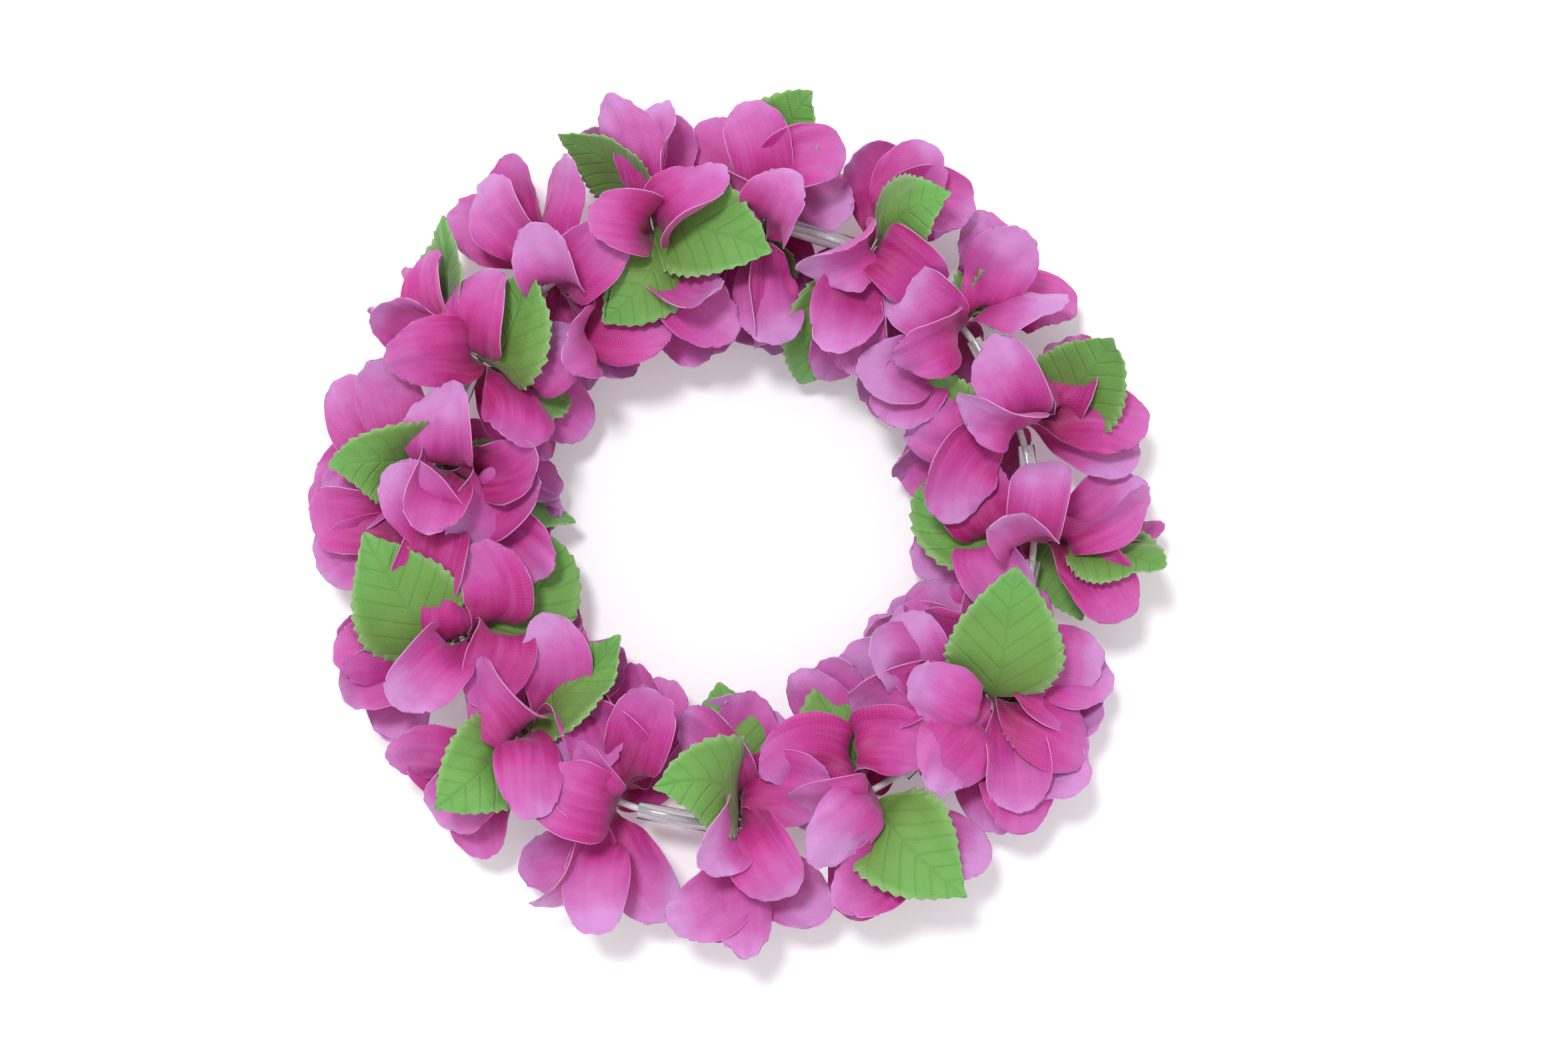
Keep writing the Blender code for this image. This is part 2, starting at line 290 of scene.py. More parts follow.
# Each blossom: the spin of its petals about the cord in degrees, their size beside the usual, and
# its front and back layers. A petal is where its tip lies from the hub, as degrees round the loop
# and millimetres out and up, and how far its face is rolled from facing up, in degrees. The six
# petals of a layer go round the cord from the outside, over the top and down the inside.
BLOSSOMS = {
    "01": (4, 1.00,
           ((7, 35, 5, 50), (15, 6, 13, 0), (18.5, -12, 6, 5),
            (9, -20, -6, 20), (4, -12, -22, 0), (10, 34, -5, 20)),
           ((-11, 30, 8, 10), (4, -8, 25, 30), (-11, 0, 10, 0),
            (-9, -29, -10, 0), (-5, -14, -22, 0), (1, 37, -10, 66))),
    "02": (-6, 1.04,
           ((9, 16, -4, 10), (14, 2, 12, 0), (12, -24, 0, 10),
            (2, -35, -8, 58), (8, -16, -22, 0), (4, 30, -16, 0)),
           ((-6.5, 37, 4, 0), (7, -13, 23, 50), (-8, -14, 6, 30),
            (-4, -27, -10, 10), (-8, -16, -22, 0), (-12, 33, -4, 5))),
    "03": (8, 0.98,
           ((4, 25, 17, 10), (17, -4, 13, 0), (6, -22, 15, 25),
            (7, -36, -12, 30), (10, -18, -20, 0), (9, 17, -4, 0)),
           ((-7, 20, 14, 45), (2.5, -18, 21, 35), (-6, -24, 4, 20),
            (-4, -31, -12, 10), (-8, -18, -20, 0), (-9, 28, -4, 20))),
    "04": (-9, 1.02,
           ((-1, 30, 8, 20), (9, -12, 16, 55), (-1, -19, 18, 20),
            (6, -37, -10, 10), (9, -18, -20, 0), (9, 25, -2, 10)),
           ((-8, 18, 4, 10), (-11, 0, 10, 0), (-8, -20, 8, 10),
            (-6, -37, -8, 5), (-8, -18, -20, 0), (-9, 25, -10, 0))),
    "05": (3, 1.00,
           ((5, 34, 6, 0), (12, 9, 1, 0), (-4, -24, 9, 20),
            (2, -35, -9, 0), (9, -33, -16, 0), (12, 29, -12, 0)),
           ((-11, 22, 10, 10), (-3, 9, 23, 10), (-7, -33, 0, 50),
            (-11, -35, -9, 55), (-8, -18, -20, 0), (-14, 4, 0, 10))),
    "06": (-4, 1.05,
           ((0.5, 37, 6, 40), (7, 6, 21, 15), (-9, -17, 18, 30),
            (-2, -36, -8, 0), (9, -18, -20, 0), (6.5, 34, -2, 45)),
           ((-6, 34, 4, 35), (-11, 9, 15, 50), (-8, -22, 4, 20),
            (-11, -33, -9, 0), (-8, -16, -20, 0), (-9, 30, -8, 0))),
    "07": (10, 1.02,
           ((1, 37, 4, 35), (-2, 13, 24, 20), (4, -12, 15, 45),
            (1.5, -33, -4, 45), (17, -31, -14, 0), (7, 31, -10, 20)),
           ((-12.5, 30, 6, 50), (-12, 2, 14, 0), (-8, -15, 6, 10),
            (-10, -27, -8, 30), (-5, -12, -22, 0), (-6.5, 35, 0, 35))),
    "08": (-8, 1.00,
           ((1, 25, 16, 35), (7, 21, 17, 40), (8, -14, 15, 15),
            (15, -25, 4, 55), (14, -30, -14, 0), (2, 33, -4, 60)),
           ((-9.5, 30, 4, 40), (-12.5, 12, 12, 30), (-15, -9, 8, 10),
            (0, -31, -8, 0), (-8, -18, -20, 0), (-3.5, 34, -4, 60))),
    "09": (6, 1.00,
           ((11.5, 35, 2, 0), (8, 1, 18, 35), (13, -5, 11, 30),
            (11, -33, -6, 30), (6, -16, -20, 0), (6, 30, -14, 0)),
           ((-14, 25, 10, 10), (-15, 6, 15, 15), (-4, -15, 14, 10),
            (0, -32, -8, 50), (-9, -20, -20, 0), (-9, 34, -2, 0))),
    "10": (-3, 1.03,
           ((0, 34, 14, 5), (5, 20, 20, 10), (10, 2, 12, 10),
            (9, -27, -8, 0), (11, -16, -20, 0), (10, 27, 0, 0)),
           ((-5, 32, 19, 0), (-20, -2, 9, 0), (-13, -10, 12, 10),
            (-5, -29, -10, 0), (-12, -16, -20, 0), (-9, 29, -10, 0))),
    "11": (9, 1.05,
           ((0, 36, 0, 0), (9, 11, 19, 30), (12, -6, 8, 10),
            (6, -35, -8, 20), (4, -16, -20, 0), (8.5, 37, -4, 0)),
           ((-12, 35, 4, 50), (-14, -1, 13, 40), (-9, -15, 6, 0),
            (-13, -26, -8, 0), (-8, -18, -20, 0), (-10, 23, 0, 0))),
    "12": (-7, 1.04,
           ((4.5, 34, 10, 10), (-13, 6, 15, 0), (-1, -24, 13, 10),
            (2, -37, -8, 0), (8, -20, -20, 0), (15, 30, 0, 0)),
           ((-2.5, 33, 0, 45), (-14, -3, 7, 0), (-14, -12, 4, 10),
            (-12, -30, -7, 10), (-9, -20, -20, 0), (-10, 29, -10, 0))),
    "13": (5, 1.03,
           ((0.7, 37, 8, 30), (7.5, 22, 18, 5), (19, -2, 12, 0),
            (4, -37, -5, 0), (10, -32, -13, 0), (14, 34, 0, 0)),
           ((-9, 24, 8, 10), (-4, 6, 20, 30), (-8, -18, 3, 10),
            (-4, -34, -10, 10), (-8, -18, -20, 0), (-7, 33, -8, 0))),
    "14": (-5, 1.08,
           ((12, 37, 8, 0), (-11, 8, 16, 10), (14, 0, 10, 10),
            (7, -27, -4, 10), (12, -20, -14, 35), (10.5, 37, -4, 5)),
           ((-12, 22, 14, 10), (-14, -2, 6, 10), (-13, -12, 6, 20),
            (-3, -33, -5, 40), (-9, -22, -20, 0), (-11, 32, 0, 0))),
    "15": (7, 1.06,
           ((2, 34, 0, 30), (22, 2, -2, 0), (17, -13, -2, 0),
            (9, -32, -10, 0), (6, -16, -22, 0), (8, 32, -4, 20)),
           ((-12, 31, 8, 15), (-19, 9, 12, 15), (-7, -22, 13, 10),
            (-3, -32, -8, 10), (-9, -20, -20, 0), (-4.5, 36, 2, 10))),
    "16": (11, 1.00,
           ((7, 37, 0, 0), (12, 5, 6, 0), (8, -20, 4, 0),
            (5, -34, -8, 0), (5, -16, -22, 0), (4, 33, -10, 0)),
           ((-2, 36, 4, 10), (-6, 6, 15, 20), (-8, -16, 8, 20),
            (-6, -33, -6, 20), (-6, -16, -22, 0), (-6, 33, -8, 0))),
    "17": (-10, 1.05,
           ((2, 36, 4, 20), (-2, -14, 13, 10), (6, -22, 4, 10),
            (5, -34, -8, 0), (5, -16, -22, 0), (6, 33, -10, 0)),
           ((-9, 38, 4, 10), (-14, 5, 8, 10), (-13, -16, 4, 10),
            (-9, -32, -7, 0), (-6, -16, -22, 0), (-12, 36, -4, 10))),
    "18": (30, 0.84,
           ((7, 28, 0, 0), (14, -8, -4, 0), (9, -25, -6, 0),
            (6, -20, -20, 0), (6, 14, -22, 0), (4, 32, -2, 10)),
           ((-2, 29, 0, 20), (-5, -25, 0, 10), (-6, -27, -8, 0),
            (-6, -20, -20, 0), (-5, 14, -22, 0), (0, 32, -8, 0))),
}

# Three more blossoms are pushed up against a neighbour and turn with it.
PUSHED_AGAINST = {"16": ("blossom_09", 180.5), "17": ("blossom_15", 321.3), "18": ("blossom_15", 333.0)}


def bent(base, control, tip):
    """Points along a curve that leaves the base towards the control and comes in to the tip."""
    shares = [step / CURVE_STEPS for step in range(CURVE_STEPS + 1)]
    return [base * (1 - s) ** 2 + control * 2 * s * (1 - s) + tip * s ** 2 for s in shares]


def length_of(points):
    """How long a line of points is."""
    return sum((after - before).length for before, after in zip(points, points[1:]))


def spine(base, leaving, tip, length):
    """The middle line of a petal or leaf of this length, which leaves the hub squarely."""
    chord = tip - base
    most = PULLED_STRAIGHT * length
    if chord.length > most:
        chord *= most / chord.length
    far = 0.7 * length
    while length_of(bent(base, base + leaving * far, base + chord)) < length:
        chord *= 1.04
    near = 0.0
    for _ in range(CURVE_TRIES):
        middle = 0.5 * (near + far)
        if length_of(bent(base, base + leaving * middle, base + chord)) < length:
            near = middle
        else:
            far = middle
    return bent(base, base + leaving * far, base + chord)


def place_on(points, distance):
    """The point and direction at a distance along a line of points."""
    for before, after in zip(points, points[1:]):
        step = (after - before).length
        if distance <= step or after is points[-1]:
            return before + (after - before) * (distance / step), (after - before).normalized()
        distance -= step


def eased(share):
    """A share held between 0 and 1, with a gentle start and stop."""
    share = min(1.0, max(0.0, share))
    return share * share * (3 - 2 * share)


def off_the_table(place):
    """Cloth that would go under the table lies along it instead."""
    if place.z < TABLE_NEAR:
        room = TABLE_NEAR - TABLE_GAP
        place.z = TABLE_GAP + room * exp((place.z - TABLE_NEAR) / room)
    return place


def faced(direction, across, roll, side):
    """The direction across a petal's tip that turns its face upwards, then rolls it."""
    upward = UP - direction * direction.dot(UP)
    if upward.length < 0.15:
        upward = across.cross(direction)
    upward.normalize()
    level = direction.cross(upward)
    agrees = level.dot(across)
    turned = 1.0 if (agrees > 0.2 or (abs(agrees) <= 0.2 and side > 0)) else -1.0
    return (level * cos(roll) + upward * sin(roll)) * turned, turned


def petal_outline(x, y, width, length):
    """Where a point of the unit grid lies on the flat petal: across, and out from the hub."""
    x = sin(0.5 * pi * x)
    root = HUB_RADIUS * sin(0.5 * SECTOR)
    if y < 0:
        share = 1 + y
        wide = root + (0.5 * width - root) * sin(0.5 * pi * share) ** 1.15
        return x * wide, length * PETAL_BROADEST * share
    y = sin(0.5 * pi * y)
    beyond = y * (1 - 0.5 * x * x) ** 0.5
    wide = 0.5 * width * (1 - 0.5 * y * y) ** 0.5 * (1 - TIP_NARROWING * beyond)
    return x * wide, length * (PETAL_BROADEST + (1 - PETAL_BROADEST) * beyond)


def frayed_edge(x, y):
    """1 on the cut edge of the unit grid, fading to 0 a little inside it."""
    beside = max(0.0, (abs(x) - 0.72) / 0.28)
    beyond = max(0.0, (y - 0.8) / 0.2)
    return max(beside, beyond)


def lay_strip(mesh_tool, layers, flat_place, hub, azimuth, tip, roll, side, shape, turned_by):
    """One petal or leaf: a grid, cut to its outline and bent from the hub's rim to its tip."""
    outline, columns, rows, width, length, cup, twist, curl, ripple, tone, seed = shape
    turn_to = radians(hub)
    out = ring_point(turn_to, 1.0) - ring_point(turn_to)
    leaving = out * cos(azimuth) + UP * sin(azimuth)
    across_hub = UP * cos(azimuth) - out * sin(azimuth)
    middle = ring_point(turn_to)
    points = spine(middle + leaving * HUB_RADIUS, leaving, tip, length)
    end_direction = place_on(points, 0.72 * length)[1]
    across_tip, turned = faced(end_direction, across_hub, roll, side)
    grid = bmesh.ops.create_grid(mesh_tool, x_segments=columns, y_segments=rows, size=1.0)["verts"]
    for vertex in grid:
        x, y = vertex.co.x, vertex.co.y
        across, along = outline(x, y, width, length)
        ragged = 1 + RAGGED * noise.noise(Vector((x * 3, y * 4, seed)))
        across *= ragged
        along *= 1 + (ragged - 1) * max(0.0, y)
        share = min(1.0, along / length)
        rim_turn = azimuth + x * 0.5 * SECTOR
        rim = middle + HUB_RADIUS * (out * cos(rim_turn) + UP * sin(rim_turn))
        flat_place[vertex] = Matrix.Rotation(azimuth, 2) @ Vector((HUB_RADIUS + along, across))
        on_line, direction = place_on(points, min(along, length))
        swing = eased(share / turned_by)
        crosswise = across_hub * (1 - swing) + across_tip * swing
        crosswise = (crosswise - direction * crosswise.dot(direction)).normalized()
        crosswise = Matrix.Rotation(twist * eased(share), 3, direction) @ crosswise
        facing = crosswise.cross(direction) * turned
        bend = cup * sin(pi * min(0.92, share)) ** 0.8 / (0.5 * width) + 1e-3
        place = on_line + crosswise * sin(across * bend) / bend
        place += facing * (1 - cos(across * bend)) / bend
        wander = noise.noise(Vector((across / (9 * MM), along / (11 * MM), seed)))
        crease = noise.noise(Vector((across / (2.6 * MM), along / (17 * MM), seed + 7)))
        lift = ripple * (wander + 0.55 * crease) * eased(share / 0.3)
        lift += curl * max(0.0, share - 0.62) ** 2 / 0.144
        place += facing * lift
        root = eased(along / (3.5 * MM))
        straight = rim + leaving * along
        vertex.co = off_the_table(straight + (place - straight) * root)
        vertex[layers["along"]] = share
        vertex[layers["across"]] = across / MM
        vertex[layers["edge"]] = frayed_edge(x, y)
        vertex[layers["tone"]] = tone


def cloth_layer(name, body, hub, strips, columns, material, cad_nodes, turned_by):
    """A die-cut layer: a punched hub with its petals or leaves, of one sheet of cloth."""
    mesh_tool = bmesh.new()
    layers = {}
    for key in ("along", "across", "edge", "tone"):
        layers[key] = mesh_tool.verts.layers.float.new(key)
    flat_place = {}
    for azimuth, tip, roll, side, shape in strips:
        lay_strip(mesh_tool, layers, flat_place, hub, azimuth, tip, roll, side, shape, turned_by)
    turn_to = radians(hub)
    out = ring_point(turn_to, 1.0) - ring_point(turn_to)
    first_turn = strips[0][0] - 0.5 * SECTOR
    sides = PETALS_PER_LAYER * columns
    rings = set()
    for radius in (HUB_HOLE, HUB_RADIUS):
        circle = bmesh.ops.create_circle(mesh_tool, segments=sides, radius=radius)["verts"]
        rings |= set(circle)
        for place, vertex in enumerate(circle):
            around = first_turn + 2 * pi * place / sides
            flat_place[vertex] = radius * Vector((cos(around), sin(around)))
            vertex.co = ring_point(turn_to) + radius * (out * cos(around) + UP * sin(around))
    hub_edges = [edge for edge in mesh_tool.edges if rings.issuperset(edge.verts)]
    bmesh.ops.bridge_loops(mesh_tool, edges=hub_edges)
    bmesh.ops.remove_doubles(mesh_tool, verts=list(mesh_tool.verts), dist=0.01 * MM)
    bmesh.ops.recalc_face_normals(mesh_tool, faces=list(mesh_tool.faces))
    cut = mesh_tool.loops.layers.uv.new("flat cloth")
    for face in mesh_tool.faces:
        for corner in face.loops:
            place = flat_place[corner.vert] / CLOTH_SQUARE
            corner[cut].uv = (0.5 + place.x, 0.5 + place.y)
    piece = finished(name, mesh_tool, material, body, cad_nodes)
    thick = piece.modifiers.new("Cloth thickness", "SOLIDIFY")
    thick.thickness = CLOTH
    thick.offset = 0.0


def woven(tree, thread, slant):
    """The height of a plain weave on the flat cloth, with threads this far apart."""
    cut = node(tree, "UVMap", uv_map="flat cloth").outputs[0]
    laid = node(tree, "Mapping")
    laid.inputs["Rotation"].default_value = (0, 0, slant)
    tree.links.new(cut, laid.inputs[0])
    height = None
    for direction in ("X", "Y"):
        threads = node(tree, "TexWave", bands_direction=direction)
        threads.inputs["Scale"].default_value = 2 * pi * CLOTH_SQUARE / (20 * thread)
        threads.inputs["Distortion"].default_value = 0.6
        threads.inputs["Detail Scale"].default_value = 0.4
        tree.links.new(laid.outputs[0], threads.inputs["Vector"])
        value = threads.outputs["Fac"]
        height = value if height is None else reckoned(tree, "MULTIPLY", height, value)
    return height, laid.outputs[0]


def attribute(tree, name):
    """A value that the cloth carries at each of its points."""
    return node(tree, "Attribute", attribute_name=name).outputs["Fac"]


def dyed(tree, cut, patch_scale, patchy, uneven, stops):
    """A colour ramp from the hub to the tip, in soft patches, and a little on each strip; the stops
    give the dyed colour, and for the petals also painted shade at the hub.
    """
    patches = node(tree, "TexNoise")
    patches.inputs["Scale"].default_value = patch_scale
    patches.inputs["Detail"].default_value = 3.0
    tree.links.new(cut, patches.inputs["Vector"])
    spread = reckoned(tree, "SUBTRACT", patches.outputs[0], 0.5)
    fade = reckoned(tree, "MULTIPLY_ADD", spread, patchy, attribute(tree, "along"))
    fade = reckoned(tree, "MULTIPLY_ADD", attribute(tree, "tone"), uneven, fade)
    hub_to_tip_colour = node(tree, "ValToRGB")
    tree.links.new(fade, hub_to_tip_colour.inputs[0])
    steps = hub_to_tip_colour.color_ramp.elements
    for step, (position, colour) in zip(steps, (stops[0], stops[-1])):
        step.position = position
        step.color = (*colour, 1)
    for position, colour in stops[1:-1]:
        steps.new(position).color = (*colour, 1)
    return hub_to_tip_colour.outputs[0]


def petal_cloth():
    """Satin polyester, dyed from the hub outwards and painted darker right at the hub as shade, with
    painted satin sheen on its raised creases and paler fray on its cut edges.
    """
    material, tree, shader = plain_material("dyed petal cloth with painted shade and sheen", (0.6, 0.1, 0.4), 0.5)
    shader.inputs["Specular IOR Level"].default_value = 0.25
    shader.inputs["Sheen Weight"].default_value = 0.22
    shader.inputs["Sheen Roughness"].default_value = 0.4
    shader.inputs["Sheen Tint"].default_value = (0.92, 0.74, 1.0, 1.0)
    shader.inputs["Subsurface Weight"].default_value = 0.35
    shader.inputs["Subsurface Radius"].default_value = (1.0, 0.25, 0.6)
    shader.inputs["Subsurface Scale"].default_value = 1.0 * MM
    weave, cut = woven(tree, PETAL_THREAD, radians(38))
    along, edge, tone = (attribute(tree, key) for key in ("along", "edge", "tone"))
    # The lowest stops, at the hub end, are darker than the dyed cloth alone: painted shade for the
    # recesses where the petal layers overlap.
    stops = ((0.0, (0.25, 0.001, 0.065)), (0.22, (0.40, 0.004, 0.15)), (0.5, (0.53, 0.034, 0.29)),
             (0.8, (0.56, 0.12, 0.43)), (1.0, (0.60, 0.27, 0.60)))
    hub_to_tip_colour = dyed(tree, cut, 9.0, 0.45, 0.2, stops)
    across = attribute(tree, "across")
    streaked = node(tree, "CombineXYZ")
    tree.links.new(reckoned(tree, "MULTIPLY", across, 0.55), streaked.inputs[0])
    tree.links.new(reckoned(tree, "MULTIPLY", along, 1.6), streaked.inputs[1])
    tree.links.new(reckoned(tree, "MULTIPLY", tone, 50.0), streaked.inputs[2])
    crease_noise = node(tree, "TexNoise")
    crease_noise.inputs["Scale"].default_value = 1.0
    crease_noise.inputs["Detail"].default_value = 3.0
    tree.links.new(streaked.outputs[0], crease_noise.inputs["Vector"])
    colour = blended(tree, reckoned(tree, "MULTIPLY", weave, 0.15), hub_to_tip_colour, (0.74, 0.38, 0.72))
    # Lighter where the creases rise: painted satin sheen along the crease ridges, as colour.
    painted_crease_sheen = reckoned(tree, "MULTIPLY", reckoned(tree, "SUBTRACT", crease_noise.outputs[0], 0.42), 0.5)
    painted_crease_sheen = reckoned(tree, "MAXIMUM", painted_crease_sheen, 0.0)
    colour = blended(tree, painted_crease_sheen, colour, (0.66, 0.30, 0.62))
    fray = reckoned(tree, "MULTIPLY", reckoned(tree, "POWER", edge, 7.0), 0.55)
    colour = blended(tree, fray, colour, (0.80, 0.48, 0.76))
    tree.links.new(colour, shader.inputs["Base Color"])
    relief = reckoned(tree, "MULTIPLY_ADD", crease_noise.outputs[0], 2.5, weave)
    bump_on(tree, shader, relief, 0.6, 0.12 * MM)
    return material


petal_material = petal_cloth()
whims = random.Random(7)
for number, (spin, size, front, back) in BLOSSOMS.items():
    body, hub_turn = PUSHED_AGAINST.get(number, (f"blossom_{number}", None))
    if hub_turn is None:
        hub_turn = atan2(hub_place[body].y, hub_place[body].x) * 180 / pi
    for layer_name, petals, side in (("front", front, 1), ("back", back, -1)):
        cad_nodes = [] if number in PUSHED_AGAINST else [f"{body}_{layer_name}_petals"]
        strips = []
        for sixth, (turn, out, up, roll) in enumerate(petals):
            azimuth = SECTOR * (sixth + 0.5) + radians(spin)
            tip = ring_point(radians(hub_turn + turn), out * MM, up * MM)
            length = PETAL_LENGTH * size * whims.uniform(0.96, 1.05)
            width = PETAL_WIDTH * whims.uniform(0.93, 1.07)
            cup = whims.choice((0.6, 0.8, 1.0, 1.15, -0.5, -0.8))
            shape = (petal_outline, PETAL_COLUMNS, PETAL_ROWS, width, length, cup,
                     whims.uniform(-0.35, 0.35), whims.uniform(-4, 5) * MM,
                     whims.uniform(1.2, 2.4) * MM, whims.uniform(-1, 1), whims.uniform(0, 90))
            strips.append((azimuth, tip, radians(roll), side, shape))
        cloth_layer(f"{layer_name}_petals_{number}", body, hub_turn + side * LAYER_STEP, strips,
                    PETAL_COLUMNS, petal_material, cad_nodes,
                    PETAL_TURNED_BY)


# ---- Leaf sprays -------------------------------------------------------------------------------
# Die-cut woven polyester leaves, green, with pressed veins and a saw-tooth edge, on a punched hub
# between a blossom's two petal layers. The cord goes through the hub and the leaves poke out.

LEAF_LENGTH = 37.5 * MM
LEAF_WIDTH = 27.0 * MM
LEAF_COLUMNS = 16
LEAF_ROWS = 75
TEETH = 15
TOOTH = 1.7 * MM
STEM_HALF = 1.2 * MM
VEIN_GAP = 5.2
VEIN_SLANT = -0.8
LEAF_THREAD = 0.7 * MM
LEAF_TURNED_BY = 0.16

# Each spray: its blossom, whose spin its leaves take, and each leaf as the sixth of a turn about the
# cord where it leaves the hub, its tip as on a petal, its roll, and its size beside the usual.
SPRAYS = {
    "01": ("blossom_01", ((0, -3, 35, 14, 50, 1.0), (5, -15, 22, -12, 10, 0.75),
                          (3, 17, -26, -10, 0, 1.0))),
    "02": ("blossom_02", ((0, 8.5, 42, 29, 0, 1.12), (3, 27, -22, 2, 50, 1.05),
                          (4, 1, -16, -22, 0, 0.85))),
    "03": ("blossom_03", ((0, 5, 16, -8, 60, 0.85), (3, -4, -20, -22, 0, 0.85),
                          (5, 1, 16, -22, 0, 0.85))),
    "04": ("blossom_04", ((1, -5, 21, 23, 20, 0.92), (4, -1, -16, -22, 0, 0.85),
                          (3, 1, -47, -16, 25, 1.15))),
    "05": ("blossom_05", ((0, -4, 32, 10, 15, 1.05), (5, 0, 17, -22, 0, 0.85),
                          (4, 1, -16, -22, 0, 0.85))),
    "06": ("blossom_06", ((1, -25.5, -9, 26, 0, 1.15), (2, 15, -17, 10, 5, 1.0),
                          (0, 10, 39, 4, 62, 1.0))),
    "07": ("blossom_08", ((0, -15, 34, 8, 58, 1.1), (2, -19, 7, 18, 40, 1.05),
                          (3, -9, -20, -12, 0, 0.8))),
    "08": ("blossom_09", ((1, 3, 29, 20, 38, 1.0), (3, 13, -41, -12, 66, 1.05),
                          (4, 1, -14, -22, 0, 0.85))),
    "09": ("blossom_10", ((1, -23, 20, 23, 0, 1.2), (3, -19, -34, -8, 0, 1.1),
                          (5, -10.5, 25, -10, 20, 0.9))),
    "10": ("blossom_11", ((1, -1, 29, 22, 12, 1.05), (2, 2, -42, 5, 45, 1.05),
                          (5, 2, 30, -10, 20, 0.9))),
    "11": ("blossom_13", ((2, -15, -8, 22, 0, 1.08), (3, -5, -37, -12, 0, 1.05),
                          (0, -8, 36, 4, 45, 0.9))),
    "12": ("blossom_14", ((1, 5, 39, 18, 0, 1.15), (3, 17, -27, -10, 25, 1.0),
                          (5, -6, 35, -8, 20, 0.9))),
    "13": ("blossom_15", ((1, 26, -6, 27, 0, 1.25), (3, -14, -28, -10, 30, 1.0),
                          (0, -2, 40, -4, 45, 0.9))),
}


def leaf_outline(x, y, width, length):
    """Where a point of the unit grid lies on the flat leaf, with teeth that point to the tip."""
    share = 0.5 + 0.5 * y
    root = HUB_RADIUS * sin(0.5 * SECTOR)
    body_share = max(0.0, (share - 0.06) / 0.94)
    wide = 0.5 * width * sin(pi * body_share ** 0.72) ** 0.98
    stem = STEM_HALF + (root - STEM_HALF) * (1 - eased(share / 0.05))
    wide = max(wide, stem * (1 - share) ** 0.5)
    tooth = TOOTH * ((TEETH * share) % 1.0) * eased((share - 0.1) / 0.1) * (1 - share) ** 0.3
    across = x * wide
    if abs(x) > 0.95 and share < 0.995:
        across += tooth if x > 0 else -tooth
    return across, length * share


def leaf_cloth():
    """Green polyester with a pressed midrib and side veins, yellower at the tips and edges."""
    material, tree, shader = plain_material("green leaf cloth", (0.14, 0.36, 0.06), 0.55)
    shader.inputs["Specular IOR Level"].default_value = 0.35
    shader.inputs["Sheen Weight"].default_value = 0.25
    shader.inputs["Sheen Roughness"].default_value = 0.45
    shader.inputs["Subsurface Weight"].default_value = 0.1
    shader.inputs["Subsurface Radius"].default_value = (0.4, 1.0, 0.2)
    shader.inputs["Subsurface Scale"].default_value = 1.0 * MM
    weave, cut = woven(tree, LEAF_THREAD, radians(45))
    along, across, edge = (attribute(tree, key) for key in ("along", "across", "edge"))
    beside = reckoned(tree, "ABSOLUTE", across)
    slanted = reckoned(tree, "MULTIPLY", beside, VEIN_SLANT)
    rows = reckoned(tree, "MULTIPLY_ADD", along, LEAF_LENGTH / MM, slanted)
    wave = reckoned(tree, "COSINE", reckoned(tree, "MULTIPLY", rows, 2 * pi / VEIN_GAP))
    side_veins = reckoned(tree, "POWER", reckoned(tree, "MULTIPLY_ADD", wave, 0.5, 0.5), 14.0)
    near_middle = reckoned(tree, "MAXIMUM", reckoned(tree, "SUBTRACT", 1.0, beside), 0.0)
    midrib = reckoned(tree, "POWER", near_middle, 1.5)
    veins = reckoned(tree, "MAXIMUM", side_veins, midrib)
    stops = ((0.0, (0.085, 0.15, 0.02)), (0.45, (0.145, 0.31, 0.055)), (1.0, (0.14, 0.40, 0.085)))
    hub_to_tip_colour = dyed(tree, cut, 7.0, 0.5, 0.1, stops)
    colour = blended(tree, reckoned(tree, "MULTIPLY", weave, 0.18), hub_to_tip_colour, (0.36, 0.6, 0.2))
    colour = blended(tree, reckoned(tree, "MULTIPLY", veins, 0.13), colour, (0.08, 0.17, 0.03))
    fray = reckoned(tree, "MULTIPLY", reckoned(tree, "POWER", edge, 3.0), 0.5)
    colour = blended(tree, fray, colour, (0.42, 0.62, 0.3))
    tree.links.new(colour, shader.inputs["Base Color"])
    relief = reckoned(tree, "MULTIPLY_ADD", veins, -3.0, weave)
    bump_on(tree, shader, relief, 0.6, 0.12 * MM)
    return material


leaf_material = leaf_cloth()
for number, (body, leaves) in SPRAYS.items():
    hub_turn = atan2(hub_place[body].y, hub_place[body].x) * 180 / pi
    spin = radians(BLOSSOMS[body[-2:]][0])
    strips = []
    for sixth, turn, out, up, roll, size in leaves:
        tip = ring_point(radians(hub_turn + turn), out * MM, up * MM)
        shape = (leaf_outline, LEAF_COLUMNS, LEAF_ROWS, LEAF_WIDTH * size, LEAF_LENGTH * size,
                 whims.choice((0.35, -0.3, 0.5)), whims.uniform(-0.2, 0.2),
                 whims.uniform(-3, 3) * MM, whims.uniform(0.8, 1.5) * MM,
                 whims.uniform(-1, 1), whims.uniform(0, 90))
        strips.append((SECTOR * sixth + spin, tip, radians(roll), 1 if sixth % 2 else -1, shape))
    cloth_layer(f"leaves_{number}", body, hub_turn, strips, LEAF_COLUMNS, leaf_material,
                [f"leaf_spray_{number}"], LEAF_TURNED_BY)


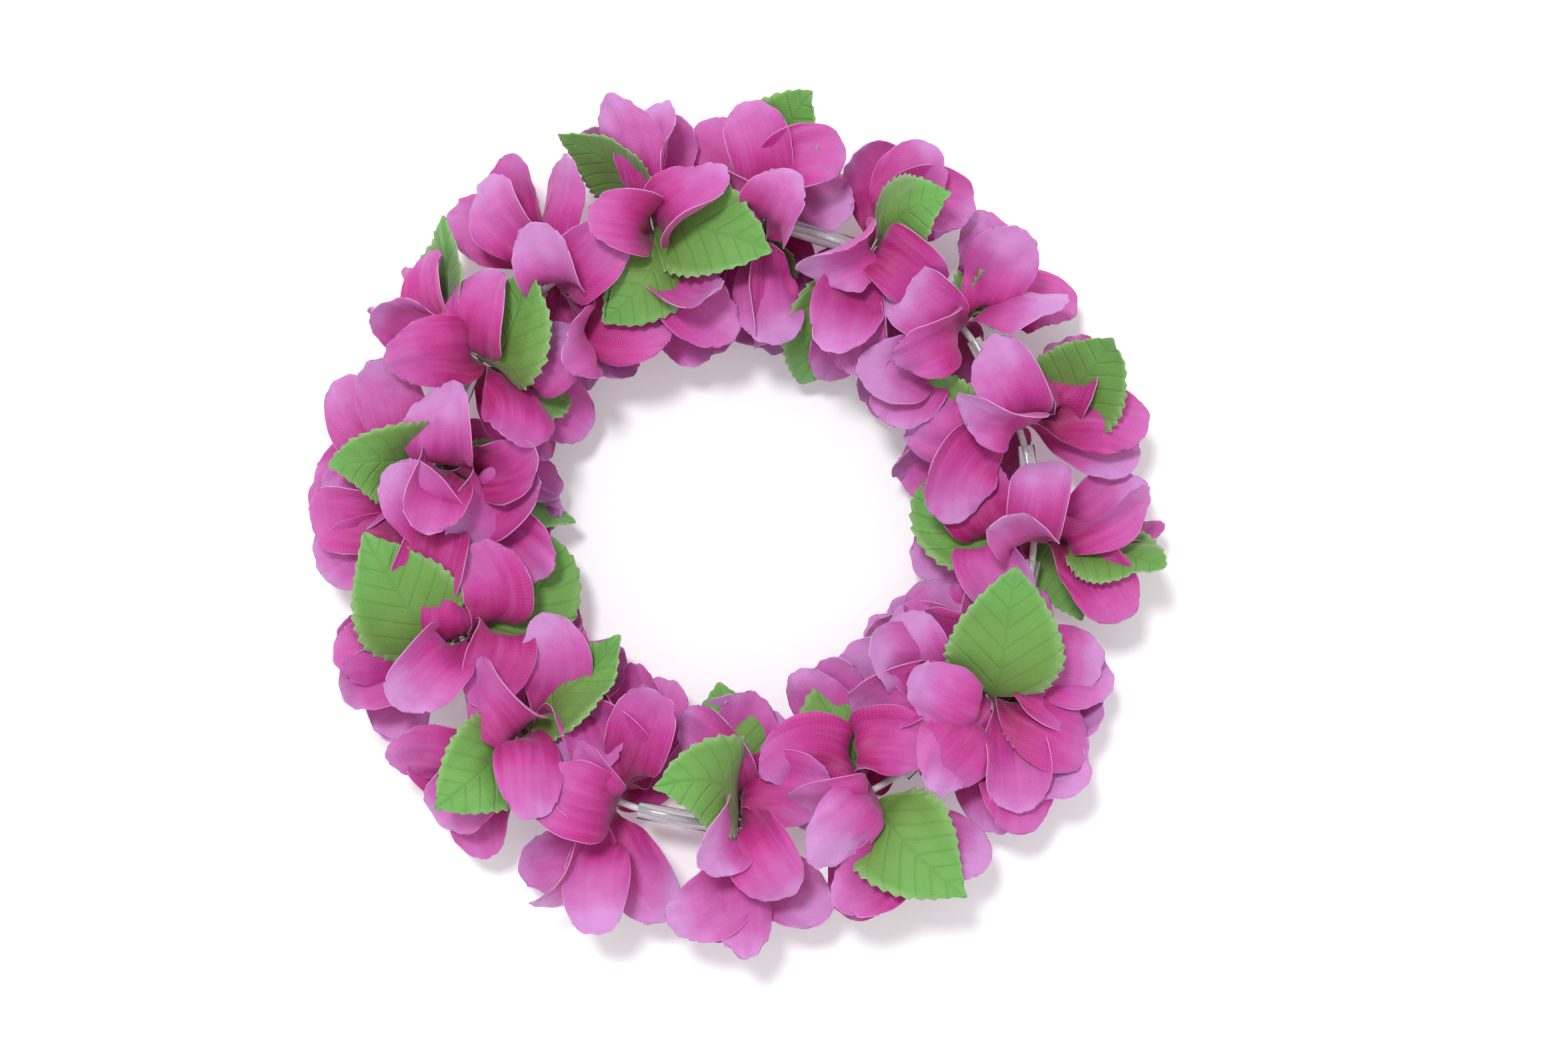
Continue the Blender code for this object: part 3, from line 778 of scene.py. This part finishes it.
# ---- Table and light ---------------------------------------------------------------------------
# A plain white table, a white room and one soft lamp high on the upper left.
# The camera looks straight down on the crown.

VIEW_WIDTH = 452.3 * MM
VIEW_HEIGHT = 1.5
VIEW_LEVEL = 0.03
SENSOR = 36.0
VIEW_MIDDLE = (14.6 * MM, 0.2 * MM)
TABLE_SIDE = 8.0
TABLE_GLOW = 0.14
ROOM_LIGHT = 0.77
LAMP_POWER = 1.6
LAMP_SPREAD = radians(9)
LAMP_FROM = Vector((-0.15, 0.3, 1.0))

table_tool = bmesh.new()
bmesh.ops.create_grid(table_tool, x_segments=1, y_segments=1, size=0.5 * TABLE_SIDE)
table_mesh = bpy.data.meshes.new("table")
table_tool.to_mesh(table_mesh)
table_tool.free()
table = bpy.data.objects.new("table", table_mesh)
bpy.context.scene.collection.objects.link(table)
table_material, _, table_shader = plain_material("white table", (0.93, 0.93, 0.93), 0.9)
table_shader.inputs["Specular IOR Level"].default_value = 0.0
table_shader.inputs["Emission Color"].default_value = (1, 1, 1, 1)
table_shader.inputs["Emission Strength"].default_value = TABLE_GLOW
table_mesh.materials.append(table_material)

room = bpy.data.worlds.new("white room")
room.use_nodes = True
room.node_tree.nodes["Background"].inputs[0].default_value = (1, 1, 1, 1)
room.node_tree.nodes["Background"].inputs[1].default_value = ROOM_LIGHT
bpy.context.scene.world = room

lamp_data = bpy.data.lights.new("soft lamp", "SUN")
lamp_data.energy = LAMP_POWER
lamp_data.angle = LAMP_SPREAD
lamp = bpy.data.objects.new("soft lamp", lamp_data)
lamp.rotation_euler = LAMP_FROM.to_track_quat("Z", "Y").to_euler()
bpy.context.scene.collection.objects.link(lamp)

camera_data = bpy.data.cameras.new("camera")
camera_data.sensor_width = SENSOR
camera_data.lens = SENSOR * (VIEW_HEIGHT - VIEW_LEVEL) / VIEW_WIDTH
camera = bpy.data.objects.new("camera", camera_data)
camera.location = (*VIEW_MIDDLE, VIEW_HEIGHT)
bpy.context.scene.collection.objects.link(camera)
bpy.context.scene.camera = camera
bpy.context.scene.view_settings.view_transform = "Standard"
